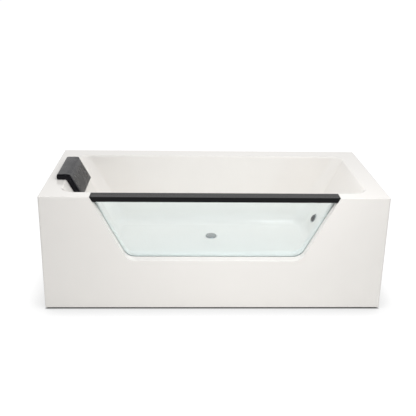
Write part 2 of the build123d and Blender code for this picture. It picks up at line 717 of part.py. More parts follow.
# Window and its rail
glass_top = RAIL_UNDER + GLASS_BITE
save("window_glass", window_prism(GLASS_EDGE, glass_top, GLASS_BACK_Y, GLASS_FRONT_Y))
save("window_gasket", window_gasket())
save("cap_rail", cap_rail())
left_plate, right_plate = rail_end_plates()
save("rail_end_plate_left", left_plate)
save("rail_end_plate_right", right_plate)
save("rail_anchor_blocks", *rail_anchor_blocks())
save("rail_glazing_strip", rail_glazing_strip())

# Headrest
save("headrest_pad", headrest_pad())
save("headrest_suction_cups", *headrest_cups())

# Drain
save("drain_flange", drain_flange())
save("drain_gasket_upper", drain_place() * ring_solid(DRAIN_GASKET_R, DRAIN_NECK_R, 0, DRAIN_GASKET))
nut_top = -SHELL - DRAIN_LOWER_GASKET
save("drain_gasket_lower", drain_place() * ring_solid(DRAIN_GASKET_R, DRAIN_NECK_R, nut_top, -SHELL))
drain_nut = hex_nut(DRAIN_NUT_FLATS, DRAIN_NECK_R, nut_top - DRAIN_NUT, nut_top)
save("drain_lock_nut", drain_place() * drain_nut)
save("plug_cartridge", plug_cartridge())
save("pop_up_plug", pop_up_plug())
save("plug_seal", drain_place() * ring_solid(PLUG_SEAL_R, PLUG_NECK_R, 0, PLUG_SEAL))
save("waste_tailpiece", waste_tailpiece())
save("tail_coupling_nut", tail_coupling_nut())

# Return jet
jet = port_place(JET_Y)
port_gasket = ring_solid(PORT_GASKET_R, PORT_BARREL_R, 0, PORT_GASKET)
port_nut = hex_nut(PORT_NUT_FLATS, PORT_BARREL_R, -SHELL - PORT_NUT, -SHELL)
save("jet_body", jet * port_shell(JET_FLANGE_R, PORT_BORE_R + RUNNING_FIT))
save("jet_gasket", jet * port_gasket)
save("jet_lock_nut", jet * port_nut)
save("jet_ring", jet * jet_ring())
save("jet_eyeball", jet * jet_eyeball())

# Suction port
suction = port_place(SUCTION_Y)
save("suction_body", suction * suction_body())
save("suction_cover", suction * suction_cover())
save("suction_cover_screw", suction * suction_cover_screw())
save("suction_gasket", suction * port_gasket)
save("suction_lock_nut", suction * port_nut)

# Board and frame
board = extrude(RectangleRounded(BOARD_LENGTH, BOARD_WIDTH, BOARD_CORNER), BOARD)
board = Pos(0, BASIN_Y, FRAME_TOP) * board - drain_place() * post_solid(BOARD_CLEAR_R, -DRAIN_NECK, 0)
save("base_board", drilled(board, board_screws()))
beam_z = (FRAME_UNDER, FRAME_TOP)
long_x = (-LONG_RAIL / 2, LONG_RAIL / 2)
foot_hole = Pos(0, 0, FRAME_UNDER) * Cylinder(INSERT_R, 4 * TUBE_WALL)
foot_holes = [Pos(side * FOOT_X, 0, 0) * foot_hole for side in (-1, 1)]
for name, side in (("front", -1), ("rear", 1)):
    beam_y = (side * RAIL_Y - TUBE / 2, side * RAIL_Y + TUBE / 2)
    beam = steel_tube(long_x, beam_y, beam_z, 0)
    for hole in foot_holes:
        beam -= Pos(0, side * RAIL_Y, 0) * hole
    save(f"frame_{name}_rail", drilled(beam, bracket_screws()))
for name, side in (("left", -1), ("right", 1)):
    cross_x = (side * CROSS_X - TUBE / 2, side * CROSS_X + TUBE / 2)
    inner_y = RAIL_Y - TUBE / 2
    cross = steel_tube(cross_x, (-inner_y, inner_y), beam_z, 1)
    save(f"frame_{name}_cross_rail", drilled(cross, board_screws()))
    end_x = tuple(sorted((side * LONG_RAIL / 2, side * (LONG_RAIL / 2 + TUBE))))
    outer_y = RAIL_Y + TUBE / 2
    end_rail = steel_tube(end_x, (-outer_y, outer_y), beam_z, 1)
    save(f"frame_{name}_end_rail", drilled(end_rail, bracket_screws()))
screws = bracket_screws()
save("skirt_brackets", *[drilled(plate, screws) for plate in skirt_brackets()])
save("skirt_bracket_screws", *bracket_screws())
save("board_screws", *board_screws())

# Rim posts and feet, one of each near every corner
for end, along in (("left", -1), ("right", 1)):
    for face, across in (("front", -1), ("rear", 1)):
        post_x = along * (LONG_RAIL + TUBE) / 2
        span_x = (post_x - POST / 2, post_x + POST / 2)
        span_y = (across * RAIL_Y - POST / 2, across * RAIL_Y + POST / 2)
        save(f"rim_post_{face}_{end}", steel_tube(span_x, span_y, (FRAME_TOP, DECK_UNDER), 2))
        foot = Pos(along * FOOT_X, across * RAIL_Y, 0)
        save(f"foot_pad_{face}_{end}", foot * foot_pad())
        save(f"foot_stud_{face}_{end}", foot * foot_stud())
corners = [Pos(x, y, 0) for x in (-FOOT_X, FOOT_X) for y in (-RAIL_Y, RAIL_Y)]
save("foot_inserts", *[corner * foot_insert() for corner in corners])
nut_top = FRAME_UNDER - INSERT_FLANGE
lock_nut = hex_nut(STUD_FLATS, STUD_R + RUNNING_FIT, nut_top - STUD_NUT, nut_top)
save("foot_lock_nuts", *[corner * lock_nut for corner in corners])
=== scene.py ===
"""Cold plunge tub of gloss white acrylic with a front window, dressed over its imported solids.

Metres, X along the tub, -Y towards the window, Z up from the floor.
"""
import math

import bmesh
import bpy
from mathutils import Matrix, Vector


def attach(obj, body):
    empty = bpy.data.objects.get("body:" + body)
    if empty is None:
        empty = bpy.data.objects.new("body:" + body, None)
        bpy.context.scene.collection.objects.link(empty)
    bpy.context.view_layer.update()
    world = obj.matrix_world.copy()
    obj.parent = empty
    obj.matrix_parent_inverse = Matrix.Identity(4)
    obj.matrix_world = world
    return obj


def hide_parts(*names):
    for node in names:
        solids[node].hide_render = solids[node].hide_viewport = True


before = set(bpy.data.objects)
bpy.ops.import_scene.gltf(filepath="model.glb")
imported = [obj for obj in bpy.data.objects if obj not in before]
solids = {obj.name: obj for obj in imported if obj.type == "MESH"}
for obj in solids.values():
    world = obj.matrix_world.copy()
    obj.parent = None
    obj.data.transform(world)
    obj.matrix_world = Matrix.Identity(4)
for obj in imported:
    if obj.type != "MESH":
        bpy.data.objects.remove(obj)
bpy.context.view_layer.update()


# Basin and deck.
# One sheet of white cast acrylic, heated and drawn by vacuum over a mould, then backed with resin and
# chopped glass fibre. The face keeps the sheet's gloss. The back is dull, yellowish and rough with fibre.
MM = 0.001
ACRYLIC_WHITE = "F9F6F2"
ACRYLIC_SHADE = "F6F3EF"
LAMINATE = "D8D0BA"
LAMINATE_FIBRE = "EAE4D2"
FORMING_WAVE = 160 * MM
ORANGE_PEEL = 4 * MM
FIBRE_LENGTH = 30 * MM
ABOVE_BASIN = (0.0, -15 * MM, 900 * MM)
BACK_TOP = 594.5 * MM
BACK_HALF_LENGTH = 845.5 * MM
BACK_HALF_WIDTH = 410.5 * MM


def linear(colour):
    """An sRGB hex colour as the linear RGBA that shaders take."""
    parts = [int(colour[i : i + 2], 16) / 255 for i in (0, 2, 4)]
    return [p / 12.92 if p <= 0.04045 else ((p + 0.055) / 1.055) ** 2.4 for p in parts] + [1.0]


def add(tree, kind, values=None, links=None, **settings):
    """Add one shader node, with its settings, its input values and what feeds its inputs."""
    node = tree.nodes.new("ShaderNode" + kind)
    for name, value in settings.items():
        setattr(node, name, value)
    for name, value in (values or {}).items():
        node.inputs[name].default_value = value
    for name, source in (links or {}).items():
        tree.links.new(source, node.inputs[name])
    return node


def start_material(name):
    """A material with nothing in it but its output, and the object's own coordinates in metres."""
    material = bpy.data.materials.new(name)
    material.use_nodes = True
    tree = material.node_tree
    tree.nodes.clear()
    place = add(tree, "TexCoord").outputs["Object"]
    return material, tree, place


def finish_material(tree, shader):
    """Send a shader to the surface."""
    add(tree, "OutputMaterial", links={"Surface": shader})


def paint(material, *names):
    """Give each named solid this one material."""
    for name in names:
        for slot in solids[name].material_slots:
            slot.material = material


def gloss_acrylic(name, laminated_back):
    """Gloss acrylic, and where asked the fibre laminate on the faces turned away from the basin."""
    material, tree, place = start_material(name)
    wave = add(tree, "TexNoise", {"Scale": 1 / FORMING_WAVE, "Detail": 2.0}, {"Vector": place})
    peel = add(tree, "TexNoise", {"Scale": 1 / ORANGE_PEEL, "Detail": 1.0}, {"Vector": place})
    tone = add(
        tree, "Mix", {"A": linear(ACRYLIC_SHADE), "B": linear(ACRYLIC_WHITE)},
        {"Factor": wave.outputs["Fac"]}, data_type="RGBA",
    )
    buffed = add(
        tree, "MapRange", {"From Min": 0.3, "From Max": 0.7, "To Min": 0.09, "To Max": 0.15},
        {"Value": wave.outputs["Fac"]},
    )
    slow = add(tree, "Bump", {"Strength": 0.25, "Distance": 1.0 * MM}, {"Height": wave.outputs["Fac"]})
    fine = add(
        tree, "Bump", {"Strength": 0.04, "Distance": 0.1 * MM},
        {"Height": peel.outputs["Fac"], "Normal": slow.outputs["Normal"]},
    )
    face = add(
        tree, "BsdfPrincipled", {"IOR": 1.49},
        {
            "Base Color": tone.outputs["Result"],
            "Roughness": buffed.outputs["Result"],
            "Normal": fine.outputs["Normal"],
        },
    )
    if not laminated_back:
        finish_material(tree, face.outputs["BSDF"])
        return material
    fibre = add(
        tree, "TexVoronoi", {"Scale": 1 / FIBRE_LENGTH, "Randomness": 1.0}, {"Vector": place},
        feature="DISTANCE_TO_EDGE",
    )
    strand = add(
        tree, "TexNoise", {"Scale": 4 / FIBRE_LENGTH, "Detail": 4.0, "Distortion": 3.0}, {"Vector": place}
    )
    resin = add(
        tree, "Mix", {"A": linear(LAMINATE), "B": linear(LAMINATE_FIBRE)},
        {"Factor": strand.outputs["Fac"]}, data_type="RGBA",
    )
    rough = add(tree, "Bump", {"Strength": 0.5, "Distance": 0.6 * MM}, {"Height": strand.outputs["Fac"]})
    lumps = add(
        tree, "Bump", {"Strength": 0.3, "Distance": 1.0 * MM},
        {"Height": fibre.outputs["Distance"], "Normal": rough.outputs["Normal"]},
    )
    back = add(
        tree, "BsdfPrincipled", {"IOR": 1.52, "Roughness": 0.5},
        {"Base Color": resin.outputs["Result"], "Normal": lumps.outputs["Normal"]},
    )
    shape = add(tree, "NewGeometry")
    from_middle = add(
        tree, "VectorMath", {1: ABOVE_BASIN}, {0: shape.outputs["Position"]}, operation="SUBTRACT"
    )
    away = add(
        tree, "VectorMath", links={0: from_middle.outputs["Vector"], 1: shape.outputs["True Normal"]},
        operation="DOT_PRODUCT",
    )
    turned_away = add(tree, "Math", {1: 0.0}, {0: away.outputs["Value"]}, operation="GREATER_THAN")
    spot = add(tree, "SeparateXYZ", links={"Vector": shape.outputs["Position"]})
    below_lip = add(tree, "Math", {1: BACK_TOP}, {0: spot.outputs["Z"]}, operation="LESS_THAN")
    backed = add(
        tree, "Math", links={0: below_lip.outputs["Value"], 1: turned_away.outputs["Value"]},
        operation="MULTIPLY",
    )
    for axis, half in (("X", BACK_HALF_LENGTH), ("Y", BACK_HALF_WIDTH)):
        off_middle = add(tree, "Math", links={0: spot.outputs[axis]}, operation="ABSOLUTE")
        inside = add(tree, "Math", {1: half}, {0: off_middle.outputs["Value"]}, operation="LESS_THAN")
        backed = add(
            tree, "Math", links={0: backed.outputs["Value"], 1: inside.outputs["Value"]},
            operation="MULTIPLY",
        )
    both = add(
        tree, "MixShader",
        links={0: backed.outputs["Value"], 1: face.outputs["BSDF"], 2: back.outputs["BSDF"]},
    )
    finish_material(tree, both.outputs["Shader"])
    return material


paint(gloss_acrylic("gloss_acrylic_on_laminate", True), "basin_shell")


# Skirt.
# Front, rear and end aprons of the same acrylic, bonded under the rim's lip so that the tub reads as one
# white block. A flared frame of the same sheet is bonded into the front one round the window.
paint(
    gloss_acrylic("gloss_acrylic", False),
    "skirt_front", "window_reveal", "skirt_rear", "skirt_left_end", "skirt_right_end",
)


# Window pane.
# One 10 mm pane of tempered low-iron glass, cut to the slanted outline with ground edges, bedded in its
# channel from above. It tints what is seen through it slightly towards green.
GLASS_TINT = "F4FDFF"
GLASS_SHADOW = "D8DEDD"
WIPE_MARK = 90 * MM

glass, tree, place = start_material("tempered_low_iron_glass")
wiped = add(tree, "TexNoise", {"Scale": 1 / WIPE_MARK, "Detail": 3.0}, {"Vector": place})
haze = add(
    tree, "MapRange", {"From Min": 0.4, "From Max": 0.8, "To Min": 0.0, "To Max": 0.02},
    {"Value": wiped.outputs["Fac"]},
)
pane = add(
    tree, "BsdfPrincipled", {"Base Color": linear(GLASS_TINT), "IOR": 1.52, "Transmission Weight": 1.0},
    {"Roughness": haze.outputs["Result"]},
)
rays = add(tree, "LightPath")
clear = add(tree, "BsdfTransparent", {"Color": linear(GLASS_SHADOW)})
lets_lamps_in = add(
    tree, "MixShader",
    links={0: rays.outputs["Is Shadow Ray"], 1: pane.outputs["BSDF"], 2: clear.outputs["BSDF"]},
)
finish_material(tree, lets_lamps_in.outputs["Shader"])
paint(glass, "window_glass")


# Window seal.
# Extruded grey silicone channel round the sides and bottom of the pane. Only its thin lip shows, as a
# fine grey line between glass and acrylic.
SEAL_GREY = "EAECEA"
SEAL_DARK = "DEE1DF"
SEAL_GRAIN = 3 * MM

seal, tree, place = start_material("grey_silicone")
dust = add(tree, "TexNoise", {"Scale": 1 / SEAL_GRAIN, "Detail": 3.0}, {"Vector": place})
tone = add(
    tree, "Mix", {"A": linear(SEAL_DARK), "B": linear(SEAL_GREY)}, {"Factor": dust.outputs["Fac"]},
    data_type="RGBA",
)
skin = add(tree, "Bump", {"Strength": 0.2, "Distance": 0.1 * MM}, {"Height": dust.outputs["Fac"]})
surface = add(
    tree, "BsdfPrincipled", {"IOR": 1.41, "Roughness": 0.5},
    {"Base Color": tone.outputs["Result"], "Normal": skin.outputs["Normal"]},
)
finish_material(tree, surface.outputs["BSDF"])
paint(seal, "window_gasket")


# Cap rail and its end plates.
# Black anodised aluminium extrusion over the glass, cut on the window's slant and closed with plates of
# the same finish. The anodised skin is near black, satin, with faint lines along the extrusion.
ANODISED_BLACK = "0A0A0B"
ANODISED_LINE = "101012"
DIE_LINE = 1.2 * MM
DIE_LINE_LENGTH = 400 * MM

rail, tree, place = start_material("black_anodised_aluminium")
stretched = add(
    tree, "Mapping", {"Scale": (1 / DIE_LINE_LENGTH, 1 / DIE_LINE, 1 / DIE_LINE)}, {"Vector": place}
)
lines = add(tree, "TexNoise", {"Scale": 1.0, "Detail": 3.0}, {"Vector": stretched.outputs["Vector"]})
tone = add(
    tree, "Mix", {"A": linear(ANODISED_BLACK), "B": linear(ANODISED_LINE)}, {"Factor": lines.outputs["Fac"]},
    data_type="RGBA",
)
satin = add(
    tree, "MapRange", {"From Min": 0.3, "From Max": 0.7, "To Min": 0.24, "To Max": 0.34},
    {"Value": lines.outputs["Fac"]},
)
grooves = add(tree, "Bump", {"Strength": 0.15, "Distance": 0.03 * MM}, {"Height": lines.outputs["Fac"]})
surface = add(
    tree, "BsdfPrincipled", {"IOR": 1.5, "Specular IOR Level": 0.15},
    {
        "Base Color": tone.outputs["Result"],
        "Roughness": satin.outputs["Result"],
        "Normal": grooves.outputs["Normal"],
    },
)
finish_material(tree, surface.outputs["BSDF"])
paint(rail, "cap_rail", "rail_end_plate_left", "rail_end_plate_right")


# Headrest.
# Firm polyurethane foam moulded in one with its own skin, bent over the left rim, with a fine pebble grain
# from the mould. The faces are a little crowned and the skin is pulled tight over the edges.
HEADREST_BLACK = "0C0C0E"
HEADREST_WORN = "141417"
PEBBLE = 1.6 * MM
PAD_VOXEL = 4 * MM
PAD_SHRINK = 0.2 * MM
PAD_TRAVEL = 1.2 * MM
PAD_WELD = 0.01 * MM
PAD_PRESSURE = 4.0
PAD_LAST_FRAME = 20
HANDLING_MARK = 60 * MM


def soft_pad(name, solid):
    """A padded copy of a solid: remeshed and blown up a little as cloth, its travel capped."""
    mesh = solids[solid].data.copy()
    mesh.name = name
    pad = bpy.data.objects.new(name, mesh)
    bpy.context.scene.collection.objects.link(pad)
    shape = bmesh.new()
    shape.from_mesh(mesh)
    bmesh.ops.remove_doubles(shape, verts=shape.verts, dist=PAD_WELD)
    shape.normal_update()
    for vert in shape.verts:
        vert.co -= vert.normal * PAD_SHRINK
    shape.to_mesh(mesh)
    shape.free()
    bpy.context.view_layer.objects.active = pad
    remesh = pad.modifiers.new("even_mesh", "REMESH")
    remesh.mode = "VOXEL"
    remesh.voxel_size = PAD_VOXEL
    bake(pad)
    at_rest = [vert.co.copy() for vert in pad.data.vertices]
    cloth = pad.modifiers.new("skin", "CLOTH")
    cloth.settings.use_pressure = True
    cloth.settings.uniform_pressure_force = PAD_PRESSURE
    cloth.settings.effector_weights.gravity = 0.0
    scene = bpy.context.scene
    for step in range(1, PAD_LAST_FRAME + 1):
        scene.frame_set(step)
    bake(pad)
    scene.frame_set(1)
    for vert, rest in zip(pad.data.vertices, at_rest):
        moved = vert.co - rest
        if moved.length > PAD_TRAVEL:
            vert.co = rest + moved * (PAD_TRAVEL / moved.length)
    return pad


def bake(piece):
    """Turn what a piece's modifiers make of it into its own mesh."""
    shaped = piece.evaluated_get(bpy.context.evaluated_depsgraph_get())
    mesh = bpy.data.meshes.new_from_object(shaped)
    piece.modifiers.clear()
    piece.data = mesh


foam, tree, place = start_material("moulded_skin_foam")
pebbles = add(
    tree, "TexVoronoi", {"Scale": 1 / PEBBLE, "Randomness": 0.9}, {"Vector": place}, feature="SMOOTH_F1"
)
handled = add(tree, "TexNoise", {"Scale": 1 / HANDLING_MARK, "Detail": 4.0}, {"Vector": place})
tone = add(
    tree, "Mix", {"A": linear(HEADREST_BLACK), "B": linear(HEADREST_WORN)},
    {"Factor": handled.outputs["Fac"]}, data_type="RGBA",
)
matt = add(
    tree, "MapRange", {"From Min": 0.3, "From Max": 0.7, "To Min": 0.24, "To Max": 0.32},
    {"Value": handled.outputs["Fac"]},
)
grain = add(
    tree, "Bump", {"Strength": 0.25, "Distance": 0.15 * MM}, {"Height": pebbles.outputs["Distance"]},
    invert=True,
)
surface = add(
    tree, "BsdfPrincipled",
    {"IOR": 1.5, "Specular IOR Level": 0.19, "Specular Tint": (0.9, 0.87, 1.0, 1.0)},
    {
        "Base Color": tone.outputs["Result"],
        "Roughness": matt.outputs["Result"],
        "Normal": grain.outputs["Normal"],
    },
)
finish_material(tree, surface.outputs["BSDF"])

pad = soft_pad("headrest_cushion", "headrest_pad")
pad.data.materials.clear()
pad.data.materials.append(foam)
for face in pad.data.polygons:
    face.use_smooth = True
smoother = pad.modifiers.new("rounder_skin", "SUBSURF")
smoother.levels = 1
smoother.render_levels = 1
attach(pad, "headrest")
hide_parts("headrest_pad")


# Suction cups.
# Two soft clear PVC cups set in pockets in the headrest's underside. They grip the wet acrylic.
CUP_CLEAR = "E6EEF0"
BUBBLE = 6 * MM

cup, tree, place = start_material("clear_soft_pvc")
bubbles = add(tree, "TexNoise", {"Scale": 1 / BUBBLE, "Detail": 2.0}, {"Vector": place})
cloudy = add(
    tree, "MapRange", {"From Min": 0.3, "From Max": 0.7, "To Min": 0.12, "To Max": 0.3},
    {"Value": bubbles.outputs["Fac"]},
)
surface = add(
    tree, "BsdfPrincipled", {"Base Color": linear(CUP_CLEAR), "IOR": 1.53, "Transmission Weight": 0.8},
    {"Roughness": cloudy.outputs["Result"]},
)
finish_material(tree, surface.outputs["BSDF"])
paint(cup, "headrest_suction_cups")


# Drain flange and pop-up cap.
# Cast brass, turned, polished and plated. The flange clamps the basin floor between rubber gaskets and is
# mirror bright, so that it nearly melts into the white floor. The cap clicks open and is plated in nickel,
# its colour made darker than nickel as painted shade, so that it reads as the dark slit of the drain's
# recess.
CHROME = "EBEDEF"
NICKEL_WITH_PAINTED_SHADE = "A6A9AB"
WATER_MARK = 14 * MM


def plated_metal(name, colour, smoothest, dullest):
    """Plated metal with faint wiping marks that change its gloss."""
    material, tree, place = start_material(name)
    marks = add(tree, "TexNoise", {"Scale": 1 / WATER_MARK, "Detail": 4.0}, {"Vector": place})
    wiping = add(
        tree, "MapRange", {"From Min": 0.35, "From Max": 0.75, "To Min": smoothest, "To Max": dullest},
        {"Value": marks.outputs["Fac"]},
    )
    shader = add(
        tree, "BsdfPrincipled", {"Base Color": linear(colour), "Metallic": 1.0},
        {"Roughness": wiping.outputs["Result"]},
    )
    finish_material(tree, shader.outputs["BSDF"])
    return material


paint(plated_metal("polished_chrome", CHROME, 0.05, 0.14), "drain_flange")
# The cap's darkened nickel is partly real plating and partly painted shade for the drain's dark recess.
paint(plated_metal("nickel_with_painted_shade", NICKEL_WITH_PAINTED_SHADE, 0.08, 0.18), "pop_up_plug")


# Drain seals.
# Black EPDM washers above and below the basin floor, and the ring that shuts the plug. The same rubber
# seals both water ports and caps the glass inside the rail.
RUBBER_BLACK = "161616"
RUBBER_BLOOM = "232423"
BLOOM_PATCH = 8 * MM

rubber, tree, place = start_material("black_epdm_rubber")
bloom = add(tree, "TexNoise", {"Scale": 1 / BLOOM_PATCH, "Detail": 5.0}, {"Vector": place})
tone = add(
    tree, "Mix", {"A": linear(RUBBER_BLACK), "B": linear(RUBBER_BLOOM)}, {"Factor": bloom.outputs["Fac"]},
    data_type="RGBA",
)
skin = add(tree, "Bump", {"Strength": 0.2, "Distance": 0.1 * MM}, {"Height": bloom.outputs["Fac"]})
surface = add(
    tree, "BsdfPrincipled", {"IOR": 1.5, "Roughness": 0.6},
    {"Base Color": tone.outputs["Result"], "Normal": skin.outputs["Normal"]},
)
finish_material(tree, surface.outputs["BSDF"])
paint(
    rubber, "drain_gasket_upper", "drain_gasket_lower", "plug_seal", "jet_gasket", "suction_gasket",
    "rail_glazing_strip",
)


# Click barrel.
# Turned brass, left bare inside the drain, dulled by water to a brown bloom.
BRASS = "C9A66B"
BRASS_DULL = "A98A58"
DULL_PATCH = 5 * MM
TOOL_PITCH = 0.8 * MM
WAVE_TURN = 6.28

brass, tree, place = start_material("turned_brass")
dulled = add(tree, "TexNoise", {"Scale": 1 / DULL_PATCH, "Detail": 4.0}, {"Vector": place})
turned = add(
    tree, "TexWave", {"Scale": 1 / TOOL_PITCH / WAVE_TURN, "Distortion": 0.3}, {"Vector": place},
    bands_direction="Z",
)
tone = add(
    tree, "Mix", {"A": linear(BRASS_DULL), "B": linear(BRASS)}, {"Factor": dulled.outputs["Fac"]},
    data_type="RGBA",
)
tool_marks = add(tree, "Bump", {"Strength": 0.2, "Distance": 0.05 * MM}, {"Height": turned.outputs["Fac"]})
surface = add(
    tree, "BsdfPrincipled", {"Metallic": 1.0, "Roughness": 0.28},
    {"Base Color": tone.outputs["Result"], "Normal": tool_marks.outputs["Normal"]},
)
finish_material(tree, surface.outputs["BSDF"])
paint(brass, "plug_cartridge")


# Moulded fittings: tailpiece, coupling nut, lock nuts and the blocks that hold the rail.
# Injection-moulded plastics with a fine spark-eroded texture, white for the tailpiece and its nut, grey for
# the rest. The jet's ring and ball, the strainer cap and the foot pads are the same sort of moulding.
MOULD_GRAIN = 0.8 * MM
FLOW_MARK = 25 * MM


def moulded_plastic(name, colour, shade, roughness):
    """Moulded plastic: an even colour, a faint flow pattern and a fine eroded grain."""
    material, tree, place = start_material(name)
    flow = add(tree, "TexNoise", {"Scale": 1 / FLOW_MARK, "Detail": 2.0}, {"Vector": place})
    eroded = add(tree, "TexNoise", {"Scale": 1 / MOULD_GRAIN, "Detail": 2.0}, {"Vector": place})
    tone = add(
        tree, "Mix", {"A": linear(shade), "B": linear(colour)}, {"Factor": flow.outputs["Fac"]},
        data_type="RGBA",
    )
    grain = add(tree, "Bump", {"Strength": 0.2, "Distance": 0.05 * MM}, {"Height": eroded.outputs["Fac"]})
    shader = add(
        tree, "BsdfPrincipled", {"IOR": 1.5, "Roughness": roughness},
        {"Base Color": tone.outputs["Result"], "Normal": grain.outputs["Normal"]},
    )
    finish_material(tree, shader.outputs["BSDF"])
    return material


paint(
    moulded_plastic("moulded_white_polypropylene", "E9E9E6", "DEDEDA", 0.4),
    "waste_tailpiece", "tail_coupling_nut",
)
paint(
    moulded_plastic("moulded_grey_nylon", "8C8E90", "808284", 0.45),
    "drain_lock_nut", "jet_lock_nut", "suction_lock_nut", "rail_anchor_blocks",
)


# Return jet.
# ABS body and flange plated in satin nickel, a black ring with grip flutes that turns, and a black nozzle
# ball. Seen along the wall it reads as a dark spot in a grey rim.
paint(plated_metal("satin_nickel_on_abs", "B4B8BA", 0.22, 0.34), "jet_body", "suction_body")
paint(moulded_plastic("moulded_black_abs", "1B1B1D", "151516", 0.35), "jet_ring", "jet_eyeball")


# Suction port.
# The same plated body under a white strainer cap, so only a grey crescent of its flange shows round the
# cap. One domed stainless screw holds the cap.
STEEL = "B9BBBC"
TURNING = 0.6 * MM

stainless, tree, place = start_material("turned_stainless_steel")
turned = add(tree, "TexNoise", {"Scale": 1 / TURNING, "Detail": 3.0}, {"Vector": place})
rubbed = add(
    tree, "MapRange", {"From Min": 0.3, "From Max": 0.7, "To Min": 0.22, "To Max": 0.36},
    {"Value": turned.outputs["Fac"]},
)
surface = add(
    tree, "BsdfPrincipled", {"Base Color": linear(STEEL), "Metallic": 1.0},
    {"Roughness": rubbed.outputs["Result"]},
)
finish_material(tree, surface.outputs["BSDF"])
paint(moulded_plastic("moulded_white_abs", "F2F1EE", "E9E8E4", 0.3), "suction_cover")
paint(stainless, "suction_cover_screw")


# Base board.
# Waterproof particle board bonded under the basin floor with resin. Its face is pressed fine and its cut
# edge shows the coarser chips.
BOARD_DARK = "8C7350"
BOARD_LIGHT = "C2A679"
CHIP = 5 * MM

board, tree, place = start_material("particle_board")
chips = add(tree, "TexVoronoi", {"Scale": 1 / CHIP, "Randomness": 1.0}, {"Vector": place})
wood = add(tree, "TexNoise", {"Scale": 2 / CHIP, "Detail": 4.0, "Distortion": 1.5}, {"Vector": place})
chip_tone = add(tree, "SeparateColor", links={"Color": chips.outputs["Color"]})
share = add(
    tree, "Math", links={0: chip_tone.outputs["Red"], 1: wood.outputs["Fac"]}, operation="MULTIPLY"
)
tone = add(
    tree, "Mix", {"A": linear(BOARD_LIGHT), "B": linear(BOARD_DARK)}, {"Factor": share.outputs["Value"]},
    data_type="RGBA",
)
pressed = add(tree, "Bump", {"Strength": 0.3, "Distance": 0.3 * MM}, {"Height": wood.outputs["Fac"]})
surface = add(
    tree, "BsdfPrincipled", {"IOR": 1.5, "Roughness": 0.75},
    {"Base Color": tone.outputs["Result"], "Normal": pressed.outputs["Normal"]},
)
finish_material(tree, surface.outputs["BSDF"])
paint(board, "base_board")


# Steel frame, posts and skirt brackets.
# Square steel tube, sawn, welded and powder coated mid grey, with 3 mm angle plates that hold the skirt.
# Powder coat flows out to a low orange peel.
POWDER_GREY = "8F9294"
POWDER_SHADE = "868A8C"
POWDER_PEEL = 2.5 * MM
POWDER_DRIFT = 120 * MM

coated, tree, place = start_material("grey_powder_coated_steel")
peel = add(tree, "TexNoise", {"Scale": 1 / POWDER_PEEL, "Detail": 2.0}, {"Vector": place})
drift = add(tree, "TexNoise", {"Scale": 1 / POWDER_DRIFT, "Detail": 2.0}, {"Vector": place})
tone = add(
    tree, "Mix", {"A": linear(POWDER_SHADE), "B": linear(POWDER_GREY)}, {"Factor": drift.outputs["Fac"]},
    data_type="RGBA",
)
skin = add(tree, "Bump", {"Strength": 0.25, "Distance": 0.1 * MM}, {"Height": peel.outputs["Fac"]})
surface = add(
    tree, "BsdfPrincipled", {"IOR": 1.5, "Roughness": 0.38},
    {"Base Color": tone.outputs["Result"], "Normal": skin.outputs["Normal"]},
)
finish_material(tree, surface.outputs["BSDF"])
corners = [f"{face}_{end}" for end in ("left", "right") for face in ("front", "rear")]
paint(
    coated, "frame_front_rail", "frame_rear_rail", "frame_left_cross_rail", "frame_right_cross_rail",
    "frame_left_end_rail", "frame_right_end_rail", "skirt_brackets",
)
paint(coated, *[f"rim_post_{corner}" for corner in corners])
paint(stainless, "skirt_bracket_screws", "board_screws")


# Levelling feet.
# Black glass-filled nylon pads on M12 stainless studs, screwed into flanged inserts in the frame and
# locked with a nut.
paint(
    moulded_plastic("moulded_black_nylon", "1A1A1A", "131313", 0.5),
    *[f"foot_pad_{corner}" for corner in corners],
)
paint(stainless, "foot_inserts", "foot_lock_nuts", *[f"foot_stud_{corner}" for corner in corners])


# Floor and surroundings.
# A white studio floor, wide enough to fill the view. To the camera, to gloss and to glass it glows just
# enough to read as white paper. That glow carries a painted shadow: ambient occlusion darkens it near the
# tub and a mask darkens it over the tub's footprint. The tub's own real shadow also stays on it, faintly.
FLOOR_WHITE = "F2F2F1"
PAPER_FIBRE = 3 * MM
FLOOR_REACH = 60.0
FLOOR_GLOW = 0.98
FLOOR_LIT = 0.12
SHADOW_REACH = 145 * MM
TUB_HALF_LENGTH = 850 * MM
TUB_HALF_WIDTH = 415 * MM
GAP_SHADOW = 0.03
SHADOW_INSIDE = 10 * MM
SHADOW_OUTSIDE = 4 * MM
DEEPEST_SHADOW = 0.42

ground = bmesh.new()
bmesh.ops.create_grid(ground, x_segments=8, y_segments=8, size=FLOOR_REACH)
floor_mesh = bpy.data.meshes.new("studio_floor")
ground.to_mesh(floor_mesh)
ground.free()
floor = bpy.data.objects.new("studio_floor", floor_mesh)
bpy.context.scene.collection.objects.link(floor)

paper, tree, place = start_material("white_studio_paper")
fibres = add(tree, "TexNoise", {"Scale": 1 / PAPER_FIBRE, "Detail": 2.0}, {"Vector": place})
skin = add(tree, "Bump", {"Strength": 0.05, "Distance": 0.1 * MM}, {"Height": fibres.outputs["Fac"]})
lit = add(
    tree, "BsdfDiffuse", {"Color": linear(FLOOR_WHITE)}, {"Normal": skin.outputs["Normal"]}
)
dimmed = add(tree, "BsdfDiffuse", {"Color": [FLOOR_LIT, FLOOR_LIT, FLOOR_LIT, 1.0]})
